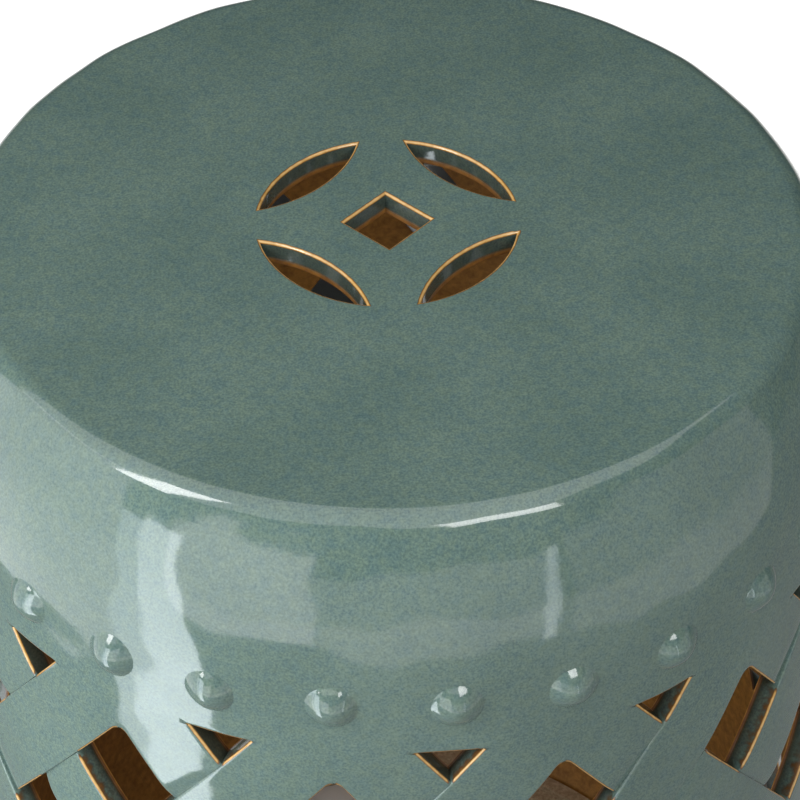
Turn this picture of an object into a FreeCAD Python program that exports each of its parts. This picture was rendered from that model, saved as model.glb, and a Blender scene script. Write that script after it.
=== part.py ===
import FreeCAD, Part
import math
import os
import Sketcher
from FreeCAD import Placement, Rotation, Vector

# Ceramic garden stool, in millimetres. The origin is on the floor at the centre of the foot,
# +Z is up, and the front, where a corner of the coin's square points, looks along -Y.

os.makedirs("parts", exist_ok=True)
doc = FreeCAD.newDocument("garden_stool")

# Driving sizes, each with what it measures
SIZES = [
    ("overall_height", 457, "floor to seat"),
    ("belly_radius", 175, "widest outer radius, at mid height"),
    ("wall_arc_radius", 2310, "radius of the long outer curve of the wall, in side view"),
    ("wall_thickness", 8, "clay wall, also the straps"),
    ("shoulder_radius", 110, "radius of the shoulder's outer curve, in side view"),
    ("rim_inset", 23, "how far the joint with seat and foot lies inside the belly"),
    ("seat_thickness", 9, "slab of the seat"),
    ("seat_edge_inset", 9, "from the joint in to where the seat is flat"),
    ("seat_edge_radius", 5, "rounding of the seat's edge"),
    ("lip_depth", 5, "locating lip of seat and foot inside the wall"),
    ("lip_width", 6, "radial width of that lip"),
    ("lip_gap", 0.3, "slip left between lip and wall"),
    ("coin_radius", 45.2, "outer circle of the coin cut-out"),
    ("leaf_half_angle", 33.3, "half of the angle that one leaf of the coin spans, in degrees"),
    ("leaf_inner_radius", 48.4, "radius of a leaf's inner arc"),
    ("coin_square_diagonal", 30, "square hole in the coin, corner to corner"),
    ("column_count", 28, "columns of the lattice round the wall, an even number"),
    ("row_count", 6, "steps between the half rows at the top and the bottom"),
    ("first_row_drop", 72.5, "from the seat or the floor to the middle of a half row"),
    ("strap_width", 30, "strap measured square across, at the belly"),
    ("lattice_turn", 3.9, "first column after the front, in degrees"),
    ("band_depth", 85, "from the seat or the floor to the edge of the plain band"),
    ("boss_drop", 62.5, "from the seat or the floor to the boss centres"),
    ("boss_radius", 7.5, "boss, where it meets the wall"),
    ("boss_height", 5, "boss above the wall"),
    ("boss_root", 3, "clay of the boss that the wall's own curve cuts away"),
    ("foot_height", 9, "foot ring below the joint"),
    ("foot_width", 21, "foot ring, from the joint in to its inside"),
    ("foot_edge_inset", 6, "from the joint in to the edge that meets the floor"),
]

sheet = doc.addObject("Spreadsheet::Sheet", "Sizes")
for line, (alias, value, note) in enumerate(SIZES, start=1):
    sheet.set(f"A{line}", alias)
    sheet.set(f"B{line}", str(value))
    sheet.set(f"C{line}", note)
    sheet.setAlias(f"B{line}", alias)
doc.recompute()


def size(alias):
    """The number that the sheet holds under this alias."""
    return float(sheet.get(alias))


MID_HEIGHT = size("overall_height") / 2
RIM_RADIUS = size("belly_radius") - size("rim_inset")
COLUMN_STEP = 360 / size("column_count")
ROW_STEP = (size("overall_height") - 2 * size("first_row_drop")) / size("row_count")
STRAP_COUNT = int(size("column_count")) // 2


# The outer side view of the wall, above mid height: a long arc, then the shoulder's arc.
# Below mid height it is the same, mirrored.

def joint_height(upper):
    """Height of the joint between the wall and the seat, or the foot."""
    if upper:
        return size("overall_height") - size("seat_thickness")
    return size("foot_height")


def band_edge_height(upper):
    """Height of the edge where the plain band ends and the straps begin."""
    if upper:
        return size("overall_height") - size("band_depth")
    return size("band_depth")


def wall_centre():
    """Centre of the long arc, in the side view."""
    return Vector(size("belly_radius") - size("wall_arc_radius"), 0, MID_HEIGHT)


def shoulder_centre(upper):
    """Centre of the shoulder's arc, which touches the long arc and ends at the joint."""
    start = wall_centre()
    joint = Vector(RIM_RADIUS, 0, joint_height(upper))
    reach = size("wall_arc_radius") - size("shoulder_radius")
    span = joint - start
    along = (reach**2 - size("shoulder_radius")**2 + span.Length**2) / (2 * span.Length)
    aside = math.sqrt(reach**2 - along**2)
    direction = span / span.Length
    sideways = Vector(direction.z, 0, -direction.x)
    return start + direction * along + sideways * (aside if upper else -aside)


def point_on_circle(centre, radius, height):
    """The point of a side-view circle at this height, on its outer side."""
    rise = height - centre.z
    return Vector(centre.x + math.sqrt(radius**2 - rise**2), 0, height)


def side_points(upper, depth):
    """Band edge, tangent point and joint, on the wall's side view, this deep in the wall."""
    centre = shoulder_centre(upper)
    normal = (centre - wall_centre()).normalize()
    edge = point_on_circle(wall_centre(), size("wall_arc_radius") - depth, band_edge_height(upper))
    tangent = wall_centre() + normal * (size("wall_arc_radius") - depth)
    joint = point_on_circle(centre, size("shoulder_radius") - depth, joint_height(upper))
    return edge, tangent, joint


def arc_between(centre, start, end):
    """Arc about a side-view centre, through the point halfway between its ends."""
    radius = (start - centre).Length
    middle = ((start - centre).normalize() + (end - centre).normalize()).normalize()
    return Part.Arc(start, centre + middle * radius, end)


def lip_radius(upper):
    """Outer radius of the locating lip, just inside the wall at the joint."""
    joint = side_points(upper, size("wall_thickness"))[2]
    return joint.x - size("lip_gap")


# Sketch helpers

def flat(point):
    """A side-view point as the sketch of the XZ plane holds it."""
    return Vector(point.x, point.z, 0)


def plane_of(body, role):
    """One of the body's own origin planes or axes, by its role."""
    return next(item for item in body.Origin.OriginFeatures if item.Role == role)


def new_body(name, label):
    body = doc.addObject("PartDesign::Body", name)
    body.Label = label
    return body


def new_sketch(body, name, role):
    sketch = body.newObject("Sketcher::SketchObject", name)
    sketch.AttachmentSupport = [(plane_of(body, role), "")]
    sketch.MapMode = "FlatFace"
    return sketch


def bind(sketch, constraint, expression, name):
    """Adds a constraint with a name, and ties its value to the sheet."""
    index = sketch.addConstraint(constraint)
    sketch.renameConstraint(index, name)
    sketch.setExpression(f"Constraints.{name}", expression)


def closed_outline(sketch, points):
    """Straight lines through these points and back to the first, joined at the corners."""
    count = len(points)
    for number in range(count):
        start = points[number]
        end = points[(number + 1) % count]
        sketch.addGeometry(Part.LineSegment(start, end), False)
    for number in range(count):
        following = (number + 1) % count
        sketch.addConstraint(Sketcher.Constraint("Coincident", number, 2, following, 1))


def place_corner(sketch, geometry, end, name, across, upwards):
    """Ties one end of a line to the sheet, by its distances from the sketch's origin."""
    start_x = sketch.getPoint(geometry, end).x
    start_y = sketch.getPoint(geometry, end).y
    for axis, value, expression in (("X", start_x, across), ("Y", start_y, upwards)):
        if expression == "0":
            line = -2 if axis == "X" else -1
            sketch.addConstraint(Sketcher.Constraint("PointOnObject", geometry, end, line))
        else:
            kind = "Distance" + axis
            constraint = Sketcher.Constraint(kind, -1, 1, geometry, end, value)
            bind(sketch, constraint, expression, name + "_" + axis.lower())


def revolve(body, sketch, name):
    """Turns the sketch once round the body's upright axis."""
    feature = body.newObject("PartDesign::Revolution", name)
    feature.Profile = sketch
    feature.ReferenceAxis = (sketch, ["V_Axis"])
    feature.Angle = 360
    sketch.Visibility = False
    doc.recompute()
    return feature


# Seat: a slab with a rounded edge and a locating lip below, pierced with a coin

def build_seat():
    body = new_body("Seat", "seat_slab")
    underside = size("seat_thickness")
    rounding = size("seat_edge_radius")
    flat_radius = RIM_RADIUS - size("seat_edge_inset")
    lip_outer = lip_radius(True)
    lip_inner = lip_outer - size("lip_width")
    lip_low = -size("lip_depth")

    # The edge's arc starts flat on the seat and ends where the slanted side leaves it
    centre = Vector(flat_radius, underside - rounding, 0)
    joint = Vector(RIM_RADIUS, 0, 0)
    reach = (joint - centre).Length
    bearing = math.atan2(joint.y - centre.y, joint.x - centre.x)
    leave = bearing + math.acos(rounding / reach)
    sketch = new_sketch(body, "SeatSection", "XZ_Plane")
    arc = Part.ArcOfCircle(Part.Circle(centre, Vector(0, 0, 1), rounding), leave, math.pi / 2)
    side_top = centre + Vector(math.cos(leave), math.sin(leave), 0) * rounding
    top_end = Vector(flat_radius, underside, 0)
    outline = [
        Part.LineSegment(Vector(0, underside, 0), top_end),
        arc,
        Part.LineSegment(side_top, joint),
        Part.LineSegment(joint, Vector(lip_outer, 0, 0)),
        Part.LineSegment(Vector(lip_outer, 0, 0), Vector(lip_outer, lip_low, 0)),
        Part.LineSegment(Vector(lip_outer, lip_low, 0), Vector(lip_inner, lip_low, 0)),
        Part.LineSegment(Vector(lip_inner, lip_low, 0), Vector(lip_inner, 0, 0)),
        Part.LineSegment(Vector(lip_inner, 0, 0), Vector(0, 0, 0)),
        Part.LineSegment(Vector(0, 0, 0), Vector(0, underside, 0)),
    ]
    sketch.addGeometry(outline, False)
    sketch.addConstraint(Sketcher.Constraint("Tangent", 0, 2, 1, 2))
    sketch.addConstraint(Sketcher.Constraint("Tangent", 1, 1, 2, 1))
    for number in range(2, 8):
        sketch.addConstraint(Sketcher.Constraint("Coincident", number, 2, number + 1, 1))
    sketch.addConstraint(Sketcher.Constraint("Coincident", 8, 2, 0, 1))
    sketch.addConstraint(Sketcher.Constraint("Coincident", 8, 1, -1, 1))
    for number in (3, 5, 7):
        sketch.addConstraint(Sketcher.Constraint("Horizontal", number))
    for number in (4, 6, 8):
        sketch.addConstraint(Sketcher.Constraint("Vertical", number))
    sketch.addConstraint(Sketcher.Constraint("Horizontal", 0))
    sketch.addConstraint(Sketcher.Constraint("PointOnObject", 3, 1, -1))
    bind(sketch, Sketcher.Constraint("Radius", 1, rounding), "Sizes.seat_edge_radius", "edge")
    bind(sketch, Sketcher.Constraint("DistanceY", 8, 1, 8, 2, underside),
         "Sizes.seat_thickness", "thickness")
    bind(sketch, Sketcher.Constraint("DistanceX", 0, 1, 0, 2, flat_radius),
         "Sizes.belly_radius - Sizes.rim_inset - Sizes.seat_edge_inset", "flat_radius")
    bind(sketch, Sketcher.Constraint("DistanceX", -1, 1, 3, 1, RIM_RADIUS),
         "Sizes.belly_radius - Sizes.rim_inset", "joint_radius")
    bind(sketch, Sketcher.Constraint("DistanceY", 4, 2, 4, 1, -lip_low),
         "Sizes.lip_depth", "lip_depth")
    bind(sketch, Sketcher.Constraint("DistanceX", 5, 2, 5, 1, size("lip_width")),
         "Sizes.lip_width", "lip_width")
    sketch.addConstraint(Sketcher.Constraint("DistanceX", -1, 1, 4, 1, lip_outer))
    revolve(body, sketch, "SeatSlab")
    pierce_coin(body)
    body.setExpression("Placement.Base.z", "Sizes.overall_height - Sizes.seat_thickness")
    return body


def cut_through(body, sketch, name):
    """Cuts the sketch up through the slab, and makes sure that clay came away."""
    before = body.Shape.Volume
    pocket = body.newObject("PartDesign::Pocket", name)
    pocket.Profile = sketch
    pocket.Type = "Length"
    pocket.setExpression("Length", "Sizes.seat_thickness")
    pocket.Reversed = True
    sketch.Visibility = False
    doc.recompute()
    if body.Shape.Volume >= before:
        raise RuntimeError(name + " cut nothing")
    return pocket


def pierce_coin(body):
    """The coin: a square hole, and four leaves between its corners."""
    half = size("coin_square_diagonal") / 2
    square = new_sketch(body, "CoinSquareOutline", "XY_Plane")
    corners = [Vector(half, 0, 0), Vector(0, half, 0), Vector(-half, 0, 0), Vector(0, -half, 0)]
    closed_outline(square, corners)
    for number, (across, upwards) in enumerate((("+", "0"), ("0", "+"), ("-", "0"), ("0", "-"))):
        reach = {"+": "Sizes.coin_square_diagonal / 2",
                 "-": "-Sizes.coin_square_diagonal / 2",
                 "0": "0"}
        place_corner(square, number, 1, f"corner{number}", reach[across], reach[upwards])
    cut_through(body, square, "CoinSquare")

    outer = size("coin_radius")
    inner = size("leaf_inner_radius")
    half_angle = math.radians(size("leaf_half_angle"))
    tip = Vector(outer * math.cos(half_angle), outer * math.sin(half_angle), 0)
    inner_half_angle = math.asin(tip.y / inner)
    inner_centre = Vector(tip.x + inner * math.cos(inner_half_angle), 0, 0)
    leaf = new_sketch(body, "CoinLeafOutline", "XY_Plane")
    leaf.AttachmentOffset = Placement(Vector(0, 0, 0), Rotation(Vector(0, 0, 1), 45))
    upright = Vector(0, 0, 1)
    outer_arc = Part.ArcOfCircle(Part.Circle(Vector(0, 0, 0), upright, outer), -half_angle, half_angle)
    inner_arc = Part.ArcOfCircle(
        Part.Circle(inner_centre, upright, inner),
        math.pi - inner_half_angle,
        math.pi + inner_half_angle,
    )
    leaf.addGeometry([outer_arc, inner_arc], False)
    leaf.addConstraint(Sketcher.Constraint("Coincident", 0, 3, -1, 1))
    leaf.addConstraint(Sketcher.Constraint("PointOnObject", 1, 3, -1))
    leaf.addConstraint(Sketcher.Constraint("Coincident", 0, 2, 1, 1))
    leaf.addConstraint(Sketcher.Constraint("Coincident", 0, 1, 1, 2))
    bind(leaf, Sketcher.Constraint("Radius", 0, outer), "Sizes.coin_radius", "outer_radius")
    bind(leaf, Sketcher.Constraint("Radius", 1, inner), "Sizes.leaf_inner_radius", "inner_radius")
    bind(leaf, Sketcher.Constraint("DistanceY", 0, 1, 0, 2, 2 * tip.y),
         "2 * Sizes.coin_radius * sin(Sizes.leaf_half_angle * 1 deg)", "leaf_length")
    first_leaf = cut_through(body, leaf, "CoinLeaf")
    one_leaf = body.Shape.Volume
    leaves = body.newObject("PartDesign::PolarPattern", "CoinLeaves")
    leaves.Originals = [first_leaf]
    leaves.Axis = (plane_of(body, "Z_Axis"), [""])
    leaves.Angle = 360
    leaves.Occurrences = 4
    body.Tip = leaves
    doc.recompute()
    if body.Shape.Volume >= one_leaf:
        raise RuntimeError("the pattern of leaves cut nothing")


# Bands: the plain wall above and below the straps

def build_band(upper, name, label):
    body = new_body(name, label)
    thickness = size("wall_thickness")
    edge_out, tangent_out, joint_out = side_points(upper, 0)
    edge_in, tangent_in, joint_in = side_points(upper, thickness)
    curve = shoulder_centre(upper)
    sketch = new_sketch(body, name + "Section", "XZ_Plane")

    def arc(centre, start, end):
        """Arc of the sketch, which always runs anticlockwise."""
        first, last = (start, end) if start.z < end.z else (end, start)
        radius = (start - centre).Length
        circle = Part.Circle(flat(centre), Vector(0, 0, 1), radius)
        angles = [math.atan2(p.z - centre.z, p.x - centre.x) for p in (first, last)]
        return Part.ArcOfCircle(circle, angles[0], angles[1])

    # Ends of an anticlockwise arc: 1 is the lower, 2 the upper
    edge_end, joint_end = (1, 2) if upper else (2, 1)
    sketch.addGeometry([
        arc(wall_centre(), edge_out, tangent_out),
        arc(curve, tangent_out, joint_out),
        Part.LineSegment(flat(joint_out), flat(joint_in)),
        arc(curve, joint_in, tangent_in),
        arc(wall_centre(), tangent_in, edge_in),
        Part.LineSegment(flat(edge_in), flat(edge_out)),
    ], False)
    wall_out, shoulder_out, joint_line, shoulder_in, wall_in, edge_line = range(6)
    add = sketch.addConstraint
    add(Sketcher.Constraint("Tangent", wall_out, joint_end, shoulder_out, edge_end))
    add(Sketcher.Constraint("Tangent", wall_in, joint_end, shoulder_in, edge_end))
    add(Sketcher.Constraint("Coincident", wall_out, 3, wall_in, 3))
    add(Sketcher.Constraint("Coincident", shoulder_out, 3, shoulder_in, 3))
    add(Sketcher.Constraint("Coincident", shoulder_out, joint_end, joint_line, 1))
    add(Sketcher.Constraint("Coincident", joint_line, 2, shoulder_in, joint_end))
    add(Sketcher.Constraint("Coincident", wall_in, edge_end, edge_line, 1))
    add(Sketcher.Constraint("Coincident", edge_line, 2, wall_out, edge_end))
    add(Sketcher.Constraint("Horizontal", joint_line))
    add(Sketcher.Constraint("Horizontal", edge_line))
    bind(sketch, Sketcher.Constraint("Radius", wall_out, size("wall_arc_radius")),
         "Sizes.wall_arc_radius", "wall_arc")
    bind(sketch, Sketcher.Constraint("Radius", shoulder_out, size("shoulder_radius")),
         "Sizes.shoulder_radius", "shoulder_arc")
    bind(sketch, Sketcher.Constraint("Radius", shoulder_in, size("shoulder_radius") - thickness),
         "Sizes.shoulder_radius - Sizes.wall_thickness", "shoulder_inner_arc")
    bind(sketch, Sketcher.Constraint("DistanceX", wall_out, 3, -1, 1, -wall_centre().x),
         "Sizes.wall_arc_radius - Sizes.belly_radius", "wall_centre_x")
    bind(sketch, Sketcher.Constraint("DistanceY", -1, 1, wall_out, 3, MID_HEIGHT),
         "Sizes.overall_height / 2", "wall_centre_y")
    bind(sketch, Sketcher.Constraint("DistanceX", -1, 1, joint_line, 1, RIM_RADIUS),
         "Sizes.belly_radius - Sizes.rim_inset", "joint_radius")
    heights = {
        True: ("Sizes.overall_height - Sizes.seat_thickness",
               "Sizes.overall_height - Sizes.band_depth"),
        False: ("Sizes.foot_height", "Sizes.band_depth"),
    }
    bind(sketch, Sketcher.Constraint("DistanceY", -1, 1, joint_line, 1, joint_height(upper)),
         heights[upper][0], "joint_height")
    bind(sketch, Sketcher.Constraint("DistanceY", -1, 1, edge_line, 1, band_edge_height(upper)),
         heights[upper][1], "edge_height")
    revolve(body, sketch, name + "Wall")
    return body


# Foot ring: closes the wall's lower edge, keyed inside it like the seat, open in the middle

def build_foot():
    body = new_body("Foot", "foot_ring")
    top = size("foot_height")
    lip_outer = lip_radius(False)
    lip_inner = lip_outer - size("lip_width")
    lip_top = top + size("lip_depth")
    inner = RIM_RADIUS - size("foot_width")
    inner_text = "Sizes.belly_radius - Sizes.rim_inset - Sizes.foot_width"
    floor_edge = RIM_RADIUS - size("foot_edge_inset")
    sketch = new_sketch(body, "FootSection", "XZ_Plane")
    corners = [
        (inner, 0, inner_text, "0"),
        (floor_edge, 0, "Sizes.belly_radius - Sizes.rim_inset - Sizes.foot_edge_inset", "0"),
        (RIM_RADIUS, top, "Sizes.belly_radius - Sizes.rim_inset", "Sizes.foot_height"),
        (lip_outer, top, str(lip_outer), "Sizes.foot_height"),
        (lip_outer, lip_top, str(lip_outer), "Sizes.foot_height + Sizes.lip_depth"),
        (lip_inner, lip_top, f"{lip_outer} - Sizes.lip_width", "Sizes.foot_height + Sizes.lip_depth"),
        (inner, top, inner_text, "Sizes.foot_height"),
    ]
    closed_outline(sketch, [Vector(across, upwards, 0) for across, upwards, _, _ in corners])
    for number, (_, _, across, upwards) in enumerate(corners):
        place_corner(sketch, number, 1, f"corner{number}", across, upwards)
    revolve(body, sketch, "FootRing")
    return body


# Straps: 14 rise to the right and 14 fall to the right. Where two cross, each keeps half of
# the wall's thickness, and row by row the other family lies outside, as in a plain weave.

def layer(outer_depth, inner_depth):
    """The wall all round, between two depths, from the foot joint to the seat joint."""
    def side(depth):
        _, low_tangent, low_joint = side_points(False, depth)
        _, high_tangent, high_joint = side_points(True, depth)
        return [
            arc_between(shoulder_centre(False), low_joint, low_tangent),
            arc_between(wall_centre(), low_tangent, high_tangent),
            arc_between(shoulder_centre(True), high_tangent, high_joint),
        ]

    outer = side(outer_depth)
    inner = side(inner_depth)
    edges = [arc.toShape() for arc in outer + inner]
    for line_end in (-1, 0):
        outer_end = outer[line_end].EndPoint if line_end else outer[line_end].StartPoint
        inner_end = inner[line_end].EndPoint if line_end else inner[line_end].StartPoint
        edges.append(Part.makeLine(outer_end, inner_end))
    section = Part.Wire(Part.__sortEdges__(edges))
    return Part.Face(section).revolve(Vector(0, 0, 0), Vector(0, 0, 1), 360)


LEVELS = 14
WEDGE_MARGIN = 25


def wedge(turn, middle_angle, low, high):
    """A strap's run through the wall: a slice of the round that twists as it climbs."""
    pitch_angle = math.atan(ROW_STEP / (size("belly_radius") * math.radians(COLUMN_STEP)))
    across = size("strap_width") / math.sin(pitch_angle)
    half_angle = math.degrees(across / 2 / size("belly_radius"))
    inside = size("belly_radius") - size("rim_inset") - 2 * size("wall_thickness")
    outside = size("belly_radius") + size("wall_thickness")
    slices = []
    for level in range(LEVELS + 1):
        height = low + (high - low) * level / LEVELS
        angle = middle_angle + turn * COLUMN_STEP / ROW_STEP * (height - MID_HEIGHT)
        corners = []
        for radius, offset in ((inside, -1), (outside, -1), (outside, 1), (inside, 1)):
            direction = math.radians(angle + offset * half_angle)
            corners.append(Vector(radius * math.cos(direction), radius * math.sin(direction), height))
        slices.append(Part.makePolygon(corners + corners[:1]))
    return Part.makeLoft(slices, True, False)


def build_master_strap(turn):
    """One strap at angle 0: turn is 1 for a rising strap and -1 for a falling one."""
    half = size("wall_thickness") / 2
    low = band_edge_height(False)
    high = band_edge_height(True)
    run = wedge(turn, 0, low, high)
    rows = int(size("row_count"))
    outside = []
    inside = []
    for row in range(rows + 1):
        rows_from_middle = rows / 2 - row
        crossing = wedge(-turn, 2 * turn * COLUMN_STEP * rows_from_middle,
                         low - WEDGE_MARGIN, high + WEDGE_MARGIN)
        rising_outside = row % 2 == 1
        if rising_outside == (turn == 1):
            inside.append(crossing)
        else:
            outside.append(crossing)
    outer_half = layer(0, half).common(run).cut(outside)
    inner_half = layer(half, size("wall_thickness")).common(run).cut(inside)
    strap = outer_half.fuse(inner_half).removeSplitter()
    if len(strap.Solids) != 1:
        raise RuntimeError("a strap came out in pieces")
    return strap.Solids[0]


def build_straps(turn, name, label):
    master = build_master_strap(turn)
    straps = []
    for number in range(STRAP_COUNT):
        strap = doc.addObject("Part::Feature", f"{name}{number + 1:02d}")
        strap.Label = f"{label}_{number + 1:02d}"
        strap.Shape = master
        turn_angle = f"Sizes.lattice_turn - 90 + {number} * 720 / Sizes.column_count"
        strap.Placement = Placement(Vector(0, 0, 0), Rotation(Vector(0, 0, 1), 1))
        strap.setExpression("Placement.Rotation.Angle", turn_angle)
        straps.append(strap)
    return straps


# Bosses: round studs of clay pressed on the bands, one at each column

def build_bosses(upper, band, name, label):
    drop = size("boss_drop")
    height = size("overall_height") - drop if upper else drop
    tangent = side_points(upper, 0)[1]
    on_shoulder = height > tangent.z if upper else height < tangent.z
    centre = shoulder_centre(upper) if on_shoulder else wall_centre()
    radius = size("shoulder_radius") if on_shoulder else size("wall_arc_radius")
    seat_point = point_on_circle(centre, radius, height)
    normal = (seat_point - centre).normalize()
    ball = doc.addObject("Part::Sphere", name + "Ball")
    ball.setExpression("Radius", "(Sizes.boss_radius^2 + Sizes.boss_height^2) / (2 * Sizes.boss_height)")
    doc.recompute()
    sunk = ball.Radius.Value - size("boss_height")
    ball.Placement = Placement(seat_point - normal * sunk, Rotation(Vector(0, 0, 1), normal))
    core = doc.addObject("Part::Cylinder", name + "Core")
    core.setExpression("Radius", "2 * Sizes.boss_radius")
    core.setExpression("Height", "Sizes.boss_root + 2 * Sizes.boss_height")
    root = seat_point - normal * size("boss_root")
    core.Placement = Placement(root, Rotation(Vector(0, 0, 1), normal))
    dome = doc.addObject("Part::Common", name + "Dome")
    dome.Base = ball
    dome.Tool = core
    stud = doc.addObject("Part::Cut", name + "Stud")
    stud.Base = dome
    stud.Tool = band
    doc.recompute()
    bosses = doc.addObject("Part::Feature", name)
    bosses.Label = label
    copies = []
    for number in range(int(size("column_count"))):
        copy = stud.Shape.copy()
        angle = size("lattice_turn") - 90 + number * COLUMN_STEP
        copy.rotate(Vector(0, 0, 0), Vector(0, 0, 1), angle)
        copies.extend(copy.Solids)
    bosses.Shape = Part.makeCompound(copies)
    bosses.Placement = Placement()
    return bosses


def check_and_export(nodes):
    """Stops at a failed object or a bad solid, then writes one file for each sub-part."""
    doc.recompute()
    for item in doc.Objects:
        if "Invalid" in item.State or "Error" in item.State:
            raise RuntimeError(item.Label + " failed")
    for node in nodes:
        if node.Shape.isNull() or not node.Shape.isValid() or not node.Shape.Solids:
            raise RuntimeError(node.Label + " has no valid solid")
    for node in nodes:
        node.Shape.exportStep(f"parts/{node.Label}.step")
        print(f"{node.Label}: {len(node.Shape.Solids)} solid(s), {node.Shape.Volume / 1000:.1f} cm3")


seat = build_seat()
shoulder_band = build_band(True, "ShoulderBand", "shoulder_band")
lower_band = build_band(False, "LowerBand", "lower_band")
foot = build_foot()
rising = build_straps(1, "RisingStrap", "rising_strap")
falling = build_straps(-1, "FallingStrap", "falling_strap")
upper_bosses = build_bosses(True, shoulder_band, "UpperBosses", "upper_bosses")
lower_bosses = build_bosses(False, lower_band, "LowerBosses", "lower_bosses")
check_and_export([seat, shoulder_band, lower_band, foot, upper_bosses, lower_bosses] + rising + falling)
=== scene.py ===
# %% [markdown]
# # A pierced ceramic garden stool
#
# A garden stool of this kind is one hollow barrel of glazed stoneware. The potter makes a seat
# slab with a coin pattern cut through it, two plain bands, a lattice of clay straps woven
# between them, rows of round bosses and a foot ring. Slip joins the pieces, and a celadon glaze
# then runs over all of them, so on the finished stool they look like one skin.
#
# This lesson starts from a measured model with every piece at its true size, and gives each
# piece a finer shape and a real finish. Lengths are in metres and +Z is up.

# %% Load the measured model
import bmesh
import bpy
import math
import random
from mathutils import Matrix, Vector


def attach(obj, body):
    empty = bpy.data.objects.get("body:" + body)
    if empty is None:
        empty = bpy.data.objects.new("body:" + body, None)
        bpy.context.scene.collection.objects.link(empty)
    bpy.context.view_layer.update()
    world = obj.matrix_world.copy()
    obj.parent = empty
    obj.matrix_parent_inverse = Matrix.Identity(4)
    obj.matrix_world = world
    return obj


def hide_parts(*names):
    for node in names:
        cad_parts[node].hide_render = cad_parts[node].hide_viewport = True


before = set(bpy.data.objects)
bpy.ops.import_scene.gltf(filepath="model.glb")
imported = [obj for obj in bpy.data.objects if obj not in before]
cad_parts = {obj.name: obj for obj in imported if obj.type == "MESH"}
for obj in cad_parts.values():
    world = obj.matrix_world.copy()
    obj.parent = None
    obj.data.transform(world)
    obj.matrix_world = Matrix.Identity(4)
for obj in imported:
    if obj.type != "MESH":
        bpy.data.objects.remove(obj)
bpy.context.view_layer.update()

MM = 0.001

# %% [markdown]
# ## The camera
#
# The camera goes in first, because each look at a piece is a look from there. It stands high and
# close, a little left of the front, with a long lens, so the seat fills most of the picture and
# the wall falls away below it. Its place and lens were found by fitting the stool's own edges and
# holes. Two directions fix its turn: where it looks and what is up.

# %% Place the camera
CAMERA_PLACE = Vector((-0.0338, -0.7810, 1.0885))
CAMERA_AHEAD = Vector((0.03565, 0.73638, -0.67563))
CAMERA_UP = Vector((0.03877, 0.67453, 0.73723))
LENS_MM = 129.78
SENSOR_MM = 36

bpy.ops.object.select_all(action="DESELECT")
bpy.ops.object.camera_add()
camera = bpy.context.object
camera.name = "camera"
camera.data.lens = LENS_MM
camera.data.sensor_width = SENSOR_MM
turned = camera.matrix_world.copy()
side = CAMERA_AHEAD.cross(CAMERA_UP).normalized()
above = side.cross(CAMERA_AHEAD).normalized()
for row in range(3):
    turned[row][0] = side[row]
    turned[row][1] = above[row]
    turned[row][2] = -CAMERA_AHEAD[row]
    turned[row][3] = CAMERA_PLACE[row]
camera.matrix_world = turned
bpy.context.scene.camera = camera
print("camera lens, mm:", camera.data.lens)

# %% [markdown]
# ## Small helpers for work in edit mode
#
# Every operator acts on what is selected. The measured model arrives selected, and so does a
# new primitive, so each step first deselects everything and then opens its own piece.

# %% Open and close a piece
def begin(name):
    """Names the primitive that was just added, fixes its place in its mesh and opens it."""
    piece = bpy.context.object
    piece.name = name
    piece.data.name = name
    bpy.ops.object.transform_apply(location=True, rotation=True, scale=True)
    bpy.ops.object.mode_set(mode="EDIT")
    return piece


def close_all():
    """Leaves edit mode with nothing selected."""
    if bpy.context.object and bpy.context.object.mode == "EDIT":
        bpy.ops.object.mode_set(mode="OBJECT")
    bpy.ops.object.select_all(action="DESELECT")


def take(piece):
    """Makes a piece the only selected one."""
    close_all()
    piece.select_set(True)
    bpy.context.view_layer.objects.active = piece


def open_piece(piece):
    take(piece)
    bpy.ops.object.mode_set(mode="EDIT")


def remove(piece):
    take(piece)
    bpy.ops.object.delete()


close_all()
print("pieces in the measured model:", len(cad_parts))

# %% [markdown]
# In a script the picking of faces or edges is done by a question about each of them, such as
# "does it look up?", where a person would click. Cuts by a plane, modifiers and smooth shading are
# needed again and again, so each gets a helper too.

# %% Pick, cut and finish
SAME_PLACE = 0.01 * MM


def pick(kind, wanted):
    """Selects the faces, edges or vertices that wanted() says yes to, and counts them."""
    bpy.ops.mesh.select_mode(type=kind)
    bpy.ops.mesh.select_all(action="DESELECT")
    mesh = bpy.context.object.data
    shape = bmesh.from_edit_mesh(mesh)
    parts = {"FACE": shape.faces, "EDGE": shape.edges, "VERT": shape.verts}[kind]
    chosen = [part for part in parts if wanted(part)]
    for part in chosen:
        part.select_set(True)
    shape.select_flush_mode()
    bmesh.update_edit_mesh(mesh)
    return len(chosen)


def middle_of(edge):
    return (edge.verts[0].co + edge.verts[1].co) / 2


def slice_at(place, across, **options):
    """Cuts the whole open mesh with a plane."""
    bpy.ops.mesh.select_all(action="SELECT")
    bpy.ops.mesh.bisect(plane_co=place, plane_no=across, **options)


def face_outwards():
    """Turns all faces of the open mesh outwards."""
    bpy.ops.mesh.select_all(action="SELECT")
    bpy.ops.mesh.normals_make_consistent(inside=False)


def apply_modifiers(piece):
    take(piece)
    for modifier in list(piece.modifiers):
        bpy.ops.object.modifier_apply(modifier=modifier.name)


def smooth(piece, angle):
    """Shades a piece smooth, apart from edges that turn by more than the angle in degrees."""
    take(piece)
    bpy.ops.object.shade_smooth_by_angle(angle=math.radians(angle))
    bpy.ops.object.select_all(action="DESELECT")


def ease(value):
    """Runs smoothly from 0 to 1 while value does."""
    value = min(max(value, 0.0), 1.0)
    return value * value * (3 - 2 * value)


print("places closer than", SAME_PLACE / MM, "mm count as one")

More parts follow.
